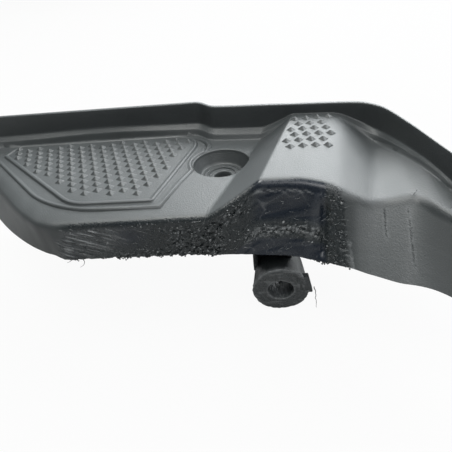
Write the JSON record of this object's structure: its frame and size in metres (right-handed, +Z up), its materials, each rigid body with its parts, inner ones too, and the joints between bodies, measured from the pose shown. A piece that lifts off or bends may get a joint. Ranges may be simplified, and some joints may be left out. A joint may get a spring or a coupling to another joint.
{
  "type": "scooter floorboard",
  "caption": "Moulded scooter floorboard with a studded tread pad, a raised step, a bolt well, an upright back wall and a hanging fixing tube.",
  "frame": {"origin": "the middle of the bolt hole's upper rim, at the bottom of the well", "axes": "+Z up along the bolt hole, +Y towards the upright back wall, +X along the board towards its raised step"},
  "size_m": [0.2665, 0.1376, 0.0759],
  "materials": {
    "plastic": "satin, finely grained, scuffed along the skirt"
  },
  "bodies": {
    "root": {"floorboard": "plastic"}
  },
  "joints": []
}
